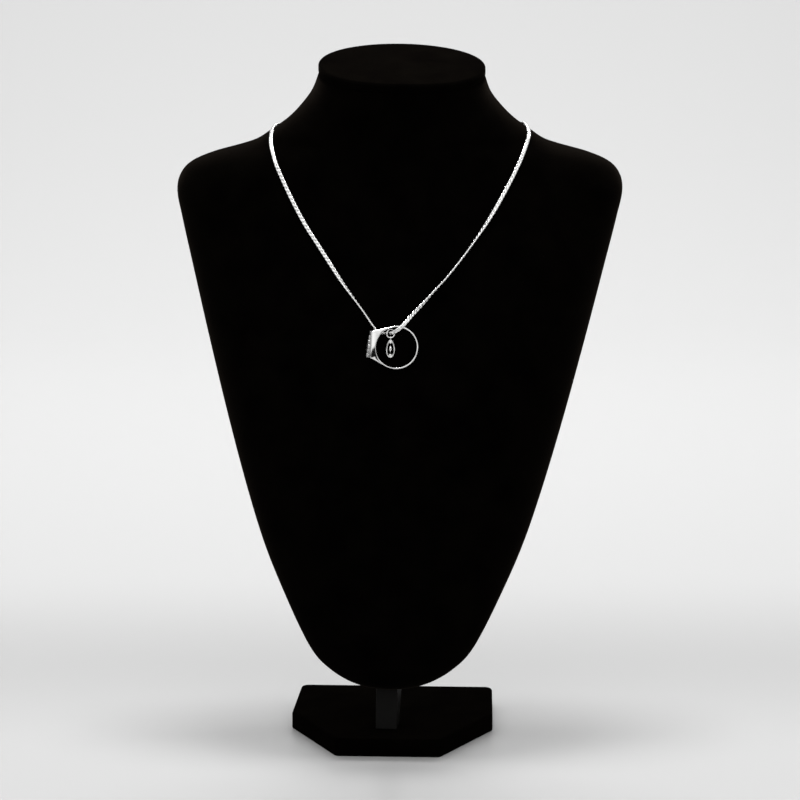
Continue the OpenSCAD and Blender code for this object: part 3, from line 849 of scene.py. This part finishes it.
# Outline of the chain's envelope, in shares of its half width and half thickness
ENVELOPE = np.array([
    [0.6, -1], [-0.6, -1], [-1, -0.45], [-1, 0.45], [-0.6, 1], [0.6, 1], [1, 0.45], [1, -0.45],
])
print("rows on the chest:", len(LEFT_FRONT) + len(RIGHT_FRONT), "and at the ring:", len(AT_RING))

# %% [markdown]
# ## The chain's route
#
# Each row becomes a place, the way the flat face looks and a roll. On the velvet the place is the
# skin's own point, lifted until the rolled chain clears it. A Catmull-Rom curve runs through the
# rows, and its arc length gives the real length of the loop.

# %% Chain route
def turn_at(x, z, behind=False):
    """The turn at which a section lies x to the side: the arc cosine of x over the half width,
    raised to half the roundness."""
    half, *_, round_front, round_back = np.moveaxis(section(z), -1, 0)
    roundness = round_back if behind else round_front
    t = np.degrees(np.arccos(np.minimum(np.abs(x) / half, 1) ** (roundness / 2)))
    side = np.where(x < 0, 180 - t, t)
    return side if behind else -side


def rows_on_skin(turn, z, roll):
    """Rows that lie on the velvet, lifted by the gap and by what the rolled chain needs below."""
    a = np.radians(roll)[:, None]
    from_width = ENVELOPE[:, 0] * CHAIN_W / 2 * np.sin(a)
    from_thickness = ENVELOPE[:, 1] * CHAIN_T / 2 * np.cos(a)
    lift = CHAIN_GAP + (from_width + from_thickness).max(1)
    out = skin_normal(turn, z)
    return np.column_stack([skin(turn, z) + out * lift[:, None], out, roll])


def front_rows(table):
    """Rows on the chest, from a table of x, height and roll."""
    x, z, roll = table.T
    return rows_on_skin(turn_at(x, z), z, roll)


clasp_turn = turn_at(CLASP_L / 2 + CHAIN_GAP, np.array(float(CLASP_Z)), behind=True)
nape_turn, nape_z, right_rise = np.vstack([NAPE, [[clasp_turn, CLASP_Z, 0]]]).T
no_roll = np.zeros(len(nape_z))
to_viewer = np.tile(TO_CHEST @ [0, 0, 1], (len(AT_RING), 1))
# Columns: place, way the flat face looks, roll
ROUTE = np.vstack([
    rows_on_skin(180 - nape_turn[::-1], nape_z[::-1], no_roll),
    front_rows(LEFT_FRONT),
    np.column_stack([on_chest(AT_RING[:, :3]), to_viewer, AT_RING[:, 3]]),
    front_rows(RIGHT_FRONT),
    rows_on_skin(nape_turn, nape_z + right_rise, no_roll),
])


def along_route(samples=60):
    """A Catmull-Rom curve through the rows, sampled evenly within each step, with the distance
    travelled at each sample."""
    padded = np.vstack([ROUTE[:1], ROUTE, ROUTE[-1:]])
    before, here, after, beyond = (padded[k : len(padded) - 3 + k, None] for k in range(4))
    t = np.linspace(0, 1, samples, endpoint=False)[None, :, None]
    curve = 0.5 * (
        2 * here + (after - before) * t + (2 * before - 5 * here + 4 * after - beyond) * t**2
        + (3 * here - before - 3 * after + beyond) * t**3
    )
    curve = np.vstack([curve.reshape(-1, ROUTE.shape[1]), ROUTE[-1:]])
    step = np.linalg.norm(np.diff(curve[:, :3], axis=0), axis=1)
    return curve, np.concatenate([[0], np.cumsum(step)])


route, travelled = along_route()
print("chain from clasp to clasp in mm:", round(travelled[-1], 1))

# %% [markdown]
# ## Curb links
#
# A curb chain is rings of round wire, each twisted until all lie flat, then filed on its sides
# and pressed between rollers. One link's wire runs round an oval and rises and falls twice on the
# way, which is the twist that lets it hook into its neighbours. The wire is thick for the link's
# size, so the chain looks closed and its edges nearly straight. Filing and pressing are clips of
# the width and the thickness.

# %% One curb link
LINK_PITCH, LINK_HALF_L, LINK_HALF_W, LINK_TWIST, LINK_WIRE = 2.15, 1.45, 0.58, 0.5, 1.1
LINK_SIDE, ROOF, ROOF_SLOPE = 0.95, 0.5, 0.22


def curb_link(steps=12, wire_steps=6):
    """Centre line: cosine along, sine across, sine of twice the angle up. The wire's circle stands
    square to it. Both sides are clipped straight, and the height to a low roof."""
    t = np.linspace(0, 2 * np.pi, steps, endpoint=False)[:, None]
    line = np.hstack([LINK_HALF_L * np.cos(t), LINK_HALF_W * np.sin(t), LINK_TWIST * np.sin(2 * t)])
    ahead = unit(np.roll(line, -1, 0) - np.roll(line, 1, 0))
    side = unit(np.cross(ahead, [[0, 0, 1]]))
    up = np.cross(side, ahead)
    b = np.linspace(0, 2 * np.pi, wire_steps, endpoint=False)[None, :, None] + np.pi / wire_steps
    link = line[:, None] + LINK_WIRE / 2 * (side[:, None] * np.cos(b) + up[:, None] * np.sin(b))
    link[..., 1] = np.clip(link[..., 1], -LINK_SIDE, LINK_SIDE)
    roof = ROOF - ROOF_SLOPE * np.abs(link[..., 1])
    link[..., 2] = np.clip(link[..., 2], -roof, roof)
    return link


link_points, link_faces = shell(curb_link())
print("a link has", len(link_faces), "faces")

# %% [markdown]
# ## The whole chain
#
# The links stand along the route at an even pitch. Each gets three directions: ahead along the
# route, across its flat and out of its flat, turned by the roll there. One array product puts all
# of them in place, so the chain is one mesh with a few dozen faces a link.

# %% Curb chain
AHEAD_STEP = 0.4


def route_at(distance):
    """Rows of the route at distances along it, on straight lines between its samples."""
    return np.stack([np.interp(distance, travelled, column) for column in route.T], -1)


link_count = int(round(travelled[-1] / LINK_PITCH))
link_at = (np.arange(link_count) + 0.5) * travelled[-1] / link_count
link_rows = route_at(link_at)
ahead = unit((route_at(link_at + AHEAD_STEP) - route_at(link_at - AHEAD_STEP))[:, :3])
beside = unit(np.cross(ahead, link_rows[:, 3:6]))
above = np.cross(beside, ahead)
roll = np.radians(link_rows[:, 6:7])
wide = beside * np.cos(roll) + above * np.sin(roll)
thick = above * np.cos(roll) - beside * np.sin(roll)
frames = np.stack([ahead, wide, thick], 1)

chain_points = np.einsum("pk,nkc->npc", link_points, frames) + link_rows[:, None, :3]
starts = np.arange(link_count)[:, None, None] * len(link_points)
chain_faces = (np.array(link_faces)[None] + starts).reshape(-1, 4).tolist()
whole_chain = (chain_points.reshape(-1, 3), chain_faces)
make_piece("curb_chain", [whole_chain], silver, ["chain"])
print("links:", link_count, "at a pitch of", round(travelled[-1] / link_count, 3), "mm")

# %% [markdown]
# ## Clasp
#
# The clasp hangs behind the neck, where the photo doesn't reach, so it is a plain closed one: a
# rounded body and an eye at each end. The body is the outline of a pill at a few insets and
# heights, like the base.

# %% Clasp
EYE_R, EYE_HOLE_R, CLASP_HALF_W, CLASP_EDGE = 1.25, 0.575, 1.8, 0.7
# How far the body stops short of each eye's middle, and its ends' radius, just under a half circle
BODY_SHORT, PILL_R = 0.6, CLASP_HALF_W - 0.01
CLASP_SHARES = (0.5, 0.95)

eye_x = CLASP_L / 2 - EYE_R
body_x = eye_x - BODY_SHORT
pill = np.array([
    [x * body_x, y * CLASP_HALF_W, PILL_R] for x, y in ((-1, -1), (1, -1), (1, 1), (-1, 1))
])
clasp_row = partial(plan_row, pill)
clasp_rows = [clasp_row(CLASP_EDGE, -CLASP_T / 2, share) for share in CLASP_SHARES]
clasp_rows += lower_edge(clasp_row, CLASP_EDGE, -CLASP_T / 2, steps=6)
clasp_rows += upper_edge(clasp_row, CLASP_EDGE, CLASP_T / 2, steps=6)
clasp_rows += [clasp_row(CLASP_EDGE, CLASP_T / 2, share) for share in CLASP_SHARES[::-1]]
eye_wire = (EYE_R - EYE_HOLE_R) / 2
eye = torus(EYE_R - eye_wire, eye_wire, CHAIN_T / 2, steps=40, wire_steps=14)
clasp_shells = [shell(np.array(clasp_rows), poles=True)]
clasp_shells += [shell(eye + [way * eye_x, 0, 0]) for way in (-1, 1)]

facing = skin_normal(BEHIND, CLASP_Z)
slope = math.degrees(math.atan2(-facing[2], facing[1]))
at_nape = skin(BEHIND, CLASP_Z) + facing * (CLASP_T / 2 + CHAIN_GAP)
laid = [(turned(points, "x", -90 - slope) + at_nape, faces) for points, faces in clasp_shells]
make_piece("nape_clasp", laid, silver, ["clasp"])

# %% [markdown]
# ## Table and backdrop
#
# The stand is photographed on a pale seamless sheet that runs from the table up behind it in one
# wide bend, so no line shows where the table ends. It starts a little in front of the stand,
# because the lower edges of the silver mirror it. Its side view is a straight line, a quarter
# circle and a straight line, carried across the width.

# %% Sweep
SWEEP_FRONT, SWEEP_BEND, SWEEP_R, SWEEP_TOP, SWEEP_HALF = -700, 1000, 1000, 2000, 1600
BEND_STEPS = 24
bend = np.radians(np.linspace(-90, 0, BEND_STEPS))
profile = np.vstack([
    [[SWEEP_FRONT, 0]],
    np.column_stack([SWEEP_BEND + SWEEP_R * np.cos(bend), SWEEP_R + SWEEP_R * np.sin(bend)]),
    [[SWEEP_BEND + SWEEP_R, SWEEP_TOP]],
])
sweep_points = np.array([[x, y, z] for x in (-SWEEP_HALF, SWEEP_HALF) for y, z in profile]) * MM
left = np.arange(len(profile) - 1)
right = left + len(profile)
sweep_faces = np.stack([left, right, right + 1, left + 1], -1)
sweep_mesh = bpy.data.meshes.new("paper_sweep")
sweep_mesh.from_pydata(sweep_points.tolist(), [], sweep_faces.tolist())
sweep_mesh.polygons.foreach_set("use_smooth", np.ones(len(sweep_faces), bool))
sweep = bpy.data.objects.new("paper_sweep", sweep_mesh)
bpy.context.scene.collection.objects.link(sweep)
print("paper sweep from", SWEEP_FRONT, "to", SWEEP_BEND + SWEEP_R, "mm")

# %% [markdown]
# ## Paper with a painted shadow
#
# The sheet is smooth paper, which reflects a little of the stand's foot. Its colour carries a
# painted shadow: a little darker in a band behind the stand, where the bust's soft shadow falls.
# Each of two smooth ranges over the depth fades that band out, one to the front and one to the
# back, and the lighter of the two counts.

# %% Paper
PAPER_ROUGH = 0.35
# Depth in metres where each range of the painted shadow band starts and ends, and the paper's
# lightness at either
SHADOW_FADES_FRONT, SHADOW_FADES_BACK = (0.13, -0.05, 0.36, 0.42), (0.12, 0.32, 0.36, 0.43)


def smooth_range(tree, limits):
    """A smooth range node from its four limits: from low, from high, to low, to high."""
    node = tree.nodes.new("ShaderNodeMapRange")
    node.interpolation_type = "SMOOTHSTEP"
    for socket, value in zip(("From Min", "From Max", "To Min", "To Max"), limits):
        node.inputs[socket].default_value = value
    return node


paper = bpy.data.materials.new("pale_paper")
paper.use_nodes = True
tree = paper.node_tree
shader = tree.nodes["Principled BSDF"]
shader.inputs["Roughness"].default_value = PAPER_ROUGH
place = tree.nodes.new("ShaderNodeTexCoord")
axes = tree.nodes.new("ShaderNodeSeparateXYZ")
shadow_fade_front, shadow_fade_back = smooth_range(tree, SHADOW_FADES_FRONT), smooth_range(tree, SHADOW_FADES_BACK)
lighter = tree.nodes.new("ShaderNodeMath")
lighter.operation = "MAXIMUM"
connect(tree, [
    (place.outputs["Object"], axes.inputs["Vector"]),
    (axes.outputs["Y"], shadow_fade_front.inputs["Value"]),
    (axes.outputs["Y"], shadow_fade_back.inputs["Value"]),
    (shadow_fade_front.outputs["Result"], lighter.inputs[0]),
    (shadow_fade_back.outputs["Result"], lighter.inputs[1]),
    (lighter.outputs[0], shader.inputs["Base Color"]),
])
sweep_mesh.materials.append(paper)
print("paper's lightness from", SHADOW_FADES_FRONT[2], "to", SHADOW_FADES_BACK[3])

# %% [markdown]
# ## Light
#
# The photo has an even, pale background, a short soft shadow right under the stand, and silver
# that is white with a few black lines. A soft box hangs above the stand, a weak strip in front
# fills the foot of the base, and a wide strip behind lights the backdrop only.

# %% Lights
def softbox(name, place, aim, width, height, power):
    """A rectangular area light in metres that looks from a place to an aim."""
    data = bpy.data.lights.new(name, "AREA")
    data.shape = "RECTANGLE"
    data.size, data.size_y = width, height
    data.energy = power
    light = bpy.data.objects.new(name, data)
    light.location = place
    light.rotation_euler = (Vector(aim) - Vector(place)).to_track_quat("-Z", "Y").to_euler()
    bpy.context.scene.collection.objects.link(light)


softbox("top_box", (0, 0.12, 1.5), (0, 0, 0), 0.4, 0.3, 17)
softbox("front_box", (0, -0.45, 0.6), (0, -0.3, 0), 1.6, 0.2, 0.9)
softbox("back_box", (0, 0.95, 1.05), (0, 1, 0), 1.8, 0.3, 14.5)
print("lights:", [light.name for light in bpy.data.lights])

# %% [markdown]
# ## Room
#
# The room does the rest: bright above the table's level, a little dimmer to the sides, and black
# in a band below it, between that level and the paper. That band is what the ring's black facet
# mirrors. The room's strength mixes two ranges over how far sideways a direction points, one for
# above the level and one for below it, which is black but for the far sides.

# %% Room
ROOM_GREY = 0.77
# Where the room turns from below to above, and how its strength changes with the way sideways
IS_ABOVE = (-0.07, -0.02, 0, 1)
BELOW, ABOVE = (0.75, 0.95, 0.01, 1), (0.3, 0.65, 1.3, 0.85)

world = bpy.data.worlds.new("studio")
world.use_nodes = True
tree = world.node_tree
room = tree.nodes["Background"]
room.inputs["Color"].default_value = (ROOM_GREY, ROOM_GREY, ROOM_GREY, 1)
towards = tree.nodes.new("ShaderNodeTexCoord")
axes = tree.nodes.new("ShaderNodeSeparateXYZ")
sideways = tree.nodes.new("ShaderNodeMath")
sideways.operation = "ABSOLUTE"
is_above, low_room, high_room = (smooth_range(tree, limits) for limits in (IS_ABOVE, BELOW, ABOVE))
strength = tree.nodes.new("ShaderNodeMix")
connect(tree, [
    (towards.outputs["Generated"], axes.inputs["Vector"]),
    (axes.outputs["X"], sideways.inputs[0]),
    (axes.outputs["Z"], is_above.inputs["Value"]),
    (sideways.outputs[0], low_room.inputs["Value"]),
    (sideways.outputs[0], high_room.inputs["Value"]),
    (is_above.outputs["Result"], strength.inputs["Factor"]),
    (low_room.outputs["Result"], strength.inputs["A"]),
    (high_room.outputs["Result"], strength.inputs["B"]),
    (strength.outputs["Result"], room.inputs["Strength"]),
])
bpy.context.scene.world = world
bpy.context.scene.view_settings.view_transform = "Standard"
print("room strength above:", ABOVE[2], "in the middle,", ABOVE[3], "to the sides")
